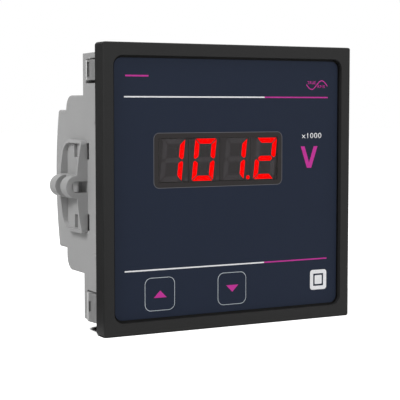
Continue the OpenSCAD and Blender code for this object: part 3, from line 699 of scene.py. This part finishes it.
def add_wave(mesh, left, right, trough, period, z, height, line):
    """Adds a printed sine line with a trough at the given place, bent from a straight strip."""
    strip = bmesh.ops.create_grid(mesh, x_segments=40, y_segments=1, size=0.5)["verts"]
    stand_up(mesh, strip)
    bmesh.ops.scale(mesh, verts=strip, vec=(right - left, 1, line))
    bmesh.ops.translate(mesh, verts=strip, vec=((left + right) / 2, FILM_FRONT, 0))
    for vert in strip:
        phase = 2 * math.pi * (vert.co.x - trough) / period
        slope = math.pi * height / period * math.sin(phase)
        vert.co.z = z - height / 2 * math.cos(phase) + vert.co.z * math.hypot(1, slope)
    thicken(mesh, [f for f in mesh.faces if f.verts[0] in set(strip)], -INK)


mesh = bmesh.new()
add_bar(mesh, LINE_LEFT, LINE_CHANGE, LINE_TOP, LINE_WIDTH)
add_bar(mesh, LINE_LEFT, LINE_CHANGE, LINE_BOTTOM, LINE_WIDTH)
add_letters(mesh, "x1000", left=28.6 * MM, right=36.8 * MM, base=16.05 * MM, top=17.9 * MM, weight=0.003)
# two nested squares, the common sign of double insulation, in heavy print in the lower right corner
add_ring(mesh, 6.9 * MM, 7.1 * MM, corner=1.0 * MM, line=1.35 * MM, x=SIGN_X, z=SIGN_Z)
add_block(mesh, 3.0 * MM, 3.2 * MM, corner=0.3 * MM, x=SIGN_X, z=SIGN_Z)
finished_piece("white_print", mesh, white_ink)

mesh = bmesh.new()
add_bar(mesh, LINE_CHANGE, LINE_RIGHT, LINE_TOP, LINE_WIDTH)
add_bar(mesh, LINE_CHANGE, LINE_RIGHT, LINE_BOTTOM, LINE_WIDTH)
add_bar(mesh, left=-39.45 * MM, right=-31.1 * MM, z=37.2 * MM, width=0.52 * MM)
# the unit, a V with two strokes of even width that meet in a blunt point
add_outline(mesh, [(UNIT_X - UNIT_HALF, UNIT_HIGH), (UNIT_X - UNIT_POINT, UNIT_LOW),
                   (UNIT_X + UNIT_POINT, UNIT_LOW), (UNIT_X + UNIT_HALF, UNIT_HIGH),
                   (UNIT_X + UNIT_HALF - UNIT_STROKE, UNIT_HIGH), (UNIT_X, UNIT_FORK),
                   (UNIT_X - UNIT_HALF + UNIT_STROKE, UNIT_HIGH)])
# the sign of alternating current, with the kind of reading in its bends
add_wave(mesh, left=30.4 * MM, right=39.2 * MM, trough=32.6 * MM, period=8.4 * MM,
         z=34.7 * MM, height=3.05 * MM, line=0.33 * MM)
add_letters(mesh, "TRUE", left=30.8 * MM, right=34.3 * MM, base=34.95 * MM, top=36.05 * MM, weight=0.012)
add_letters(mesh, "RMS", left=35.05 * MM, right=38.1 * MM, base=33.7 * MM, top=34.7 * MM, weight=0.012)
finished_piece("magenta_print", mesh, magenta_ink)

mesh = bmesh.new()
add_ring(mesh, window_w + 2 * WINDOW_LINE_OUT, window_h + 2 * WINDOW_LINE_OUT, WINDOW_CORNER, WINDOW_LINE,
         window_centre.x, window_centre.z)
finished_piece("window_outline", mesh, dim_ink)


# ---- key fields -------------------------------------------------------------
# Over each key the film is domed by a little less than the key's travel, and a thin outline and an arrow
# are printed on it. A finger flattens the dome, which pushes the plunger behind it.

KEY_FIELD = 11.15 * MM
KEY_CORNER = 2.3 * MM
OUTLINE = 0.17 * MM
DOME = 0.2 * MM
DOME_INSET = 1.5 * OUTLINE
# how far each step of the dome goes in, and its share of the rise
DOME_STEPS = ((0.25 * MM, 0.1), (0.4 * MM, 0.35), (0.6 * MM, 0.35), (0.9 * MM, 0.2))
CLEAR_OF_FILM = 0.001 * MM
ARROW_WIDTH = 4.8 * MM
ARROW_HEIGHT = 2.4 * MM
# an even triangle in a circle of radius 1 is this wide and this high
TRIANGLE_WIDTH, TRIANGLE_HEIGHT = math.sqrt(3), 1.5

outlines = bmesh.new()
for key, points_up in (("up_key", 1), ("down_key", -1)):
    plunger_low, plunger_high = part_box(f"{key}_plunger")
    centre = (plunger_low + plunger_high) / 2

    mesh = bmesh.new()
    dome_size = KEY_FIELD - 2 * DOME_INSET
    top = rounded_face(mesh, dome_size, dome_size, KEY_CORNER - DOME_INSET,
                       x=centre.x, z=centre.z, y=FILM_FRONT - CLEAR_OF_FILM)
    for inset, rise in DOME_STEPS:
        bmesh.ops.inset_region(mesh, faces=[top], thickness=inset, use_even_offset=True)
        bmesh.ops.translate(mesh, verts=top.verts, vec=(0, -rise * DOME, 0))
    for face in mesh.faces:
        face.smooth = True
    dome = finished_piece(f"{key}_dome", mesh, navy_film)
    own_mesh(dome)

    mesh = bmesh.new()
    arrow = bmesh.ops.create_circle(mesh, cap_ends=True, segments=3, radius=1)["verts"]
    stand_up(mesh, arrow)
    size = (ARROW_WIDTH / TRIANGLE_WIDTH, 1, points_up * ARROW_HEIGHT / TRIANGLE_HEIGHT)
    bmesh.ops.scale(mesh, verts=arrow, vec=size)
    middle = (min(v.co.z for v in arrow) + max(v.co.z for v in arrow)) / 2
    bmesh.ops.translate(mesh, verts=arrow, vec=(centre.x, FILM_FRONT - DOME, centre.z - middle))
    thicken(mesh, mesh.faces[:], -INK)
    arrow_piece = finished_piece(f"{key}_arrow", mesh, magenta_ink)
    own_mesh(arrow_piece)

    add_ring(outlines, KEY_FIELD, KEY_FIELD, KEY_CORNER, OUTLINE, centre.x, centre.z)

finished_piece("key_outlines", outlines, grey_ink)


# ---- studio -----------------------------------------------------------------
# A white floor under the bezel's lower edge, white surroundings, and two soft lamps, one at the upper left
# and one at the front right. The camera looks at the front from the left and slightly above.

scene = bpy.context.scene
scene.view_settings.view_transform = "Standard"

CAMERA_PLACE = Vector((-0.20827, -0.37124, 0.02706))
CAMERA_AIM = Vector((-0.01276, -0.0064, -0.00412))
AMBIENT = 0.36
FLOOR_GLOW = 0.75
FLOOR_REACH = 3
FLOOR_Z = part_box("bezel")[0].z
CARD_REACH = 0.15
UPRIGHT_CARD = (-0.21, 0.07, 0.1)
FLAT_CARD = (-0.202, 0.05, FLOOR_Z + 1 * MM)

camera = bpy.data.objects.new("camera", bpy.data.cameras.new("camera"))
camera.data.lens = 111.3
camera.data.clip_start = 0.01
camera.location = CAMERA_PLACE
camera.rotation_euler = (CAMERA_AIM - CAMERA_PLACE).to_track_quat("-Z", "Y").to_euler()
scene.collection.objects.link(camera)
scene.camera = camera


def seen_directly(tree):
    """1 for what the camera sees itself, in a mirror or through glass, and 0 for what only lights."""
    path = tree.nodes.new("ShaderNodeLightPath")
    in_glass = arithmetic(tree, "MAXIMUM", path.outputs["Is Glossy Ray"], path.outputs["Is Transmission Ray"])
    return arithmetic(tree, "MAXIMUM", path.outputs["Is Camera Ray"], in_glass)


world = bpy.data.worlds.new("white_studio")
world.use_nodes = True
scene.world = world
surround = world.node_tree.nodes["Background"]
surround.inputs["Color"].default_value = (1, 1, 1, 1)
lift = arithmetic(world.node_tree, "MULTIPLY", seen_directly(world.node_tree), 1 - AMBIENT)
world.node_tree.links.new(arithmetic(world.node_tree, "ADD", lift, AMBIENT), surround.inputs["Strength"])


def white_floor():
    """Matt white that glows to the camera, with a painted shadow, drawn from an occlusion node, that keeps it
    dark in the narrow gap under the housing.
    """
    finish, tree, shader = new_finish("white_floor")
    nearby = tree.nodes.new("ShaderNodeAmbientOcclusion")
    nearby.samples = 32
    nearby.inputs["Distance"].default_value = 18 * MM
    opening = tree.nodes.new("ShaderNodeMapRange")
    opening.inputs["From Min"].default_value = 0.36
    opening.inputs["From Max"].default_value = 0.50
    tree.links.new(nearby.outputs["AO"], opening.inputs["Value"])
    openness = opening.outputs["Result"]
    # closed-in spots lose both colour and glow, a painted contact shadow
    tree.links.new(scaled_colour(tree, (0.8, 0.8, 0.8), openness), shader.inputs["Base Color"])
    glow = arithmetic(tree, "MULTIPLY", seen_directly(tree), FLOOR_GLOW)
    tree.links.new(arithmetic(tree, "MULTIPLY", glow, openness), shader.inputs["Emission Strength"])
    shader.inputs["Emission Color"].default_value = (1, 1, 1, 1)
    shader.inputs["Roughness"].default_value = 0.9
    shader.inputs["Specular IOR Level"].default_value = 0.0
    return finish


mesh = bmesh.new()
bmesh.ops.create_grid(mesh, x_segments=1, y_segments=1, size=FLOOR_REACH)
bmesh.ops.translate(mesh, verts=mesh.verts, vec=(0, 0, FLOOR_Z))
floor = object_of("floor", mesh, white_floor())


def card_black():
    """Matt black card."""
    finish, _, shader = new_finish("card_black")
    shader.inputs["Base Color"].default_value = (0.01, 0.01, 0.01, 1)
    shader.inputs["Roughness"].default_value = 1
    shader.inputs["Specular IOR Level"].default_value = 0
    return finish


# two black cards at the meter's left, one upright and one flat over the floor, show only in reflections and
# keep its left side from mirroring white
mesh = bmesh.new()
upright = bmesh.ops.create_grid(mesh, x_segments=1, y_segments=1, size=CARD_REACH)["verts"]
stand_up(mesh, upright)
bmesh.ops.translate(mesh, verts=upright, vec=UPRIGHT_CARD)
flat = bmesh.ops.create_grid(mesh, x_segments=1, y_segments=1, size=CARD_REACH)["verts"]
bmesh.ops.translate(mesh, verts=flat, vec=FLAT_CARD)
card = object_of("black_cards", mesh, card_black())
card.visible_camera = card.visible_diffuse = card.visible_transmission = card.visible_shadow = False


def soft_lamp(name, place, size, power):
    """A square soft box that points at the meter."""
    lamp = bpy.data.objects.new(name, bpy.data.lights.new(name, "AREA"))
    lamp.data.size = size
    lamp.data.energy = power
    lamp.location = place
    lamp.rotation_euler = (-Vector(place)).to_track_quat("-Z", "Y").to_euler()
    scene.collection.objects.link(lamp)


soft_lamp("left_soft_box", place=(-1.2, -0.2, 1.1), size=0.6, power=19)
soft_lamp("right_soft_box", place=(0.5, -1.3, 0.7), size=0.9, power=7.3)
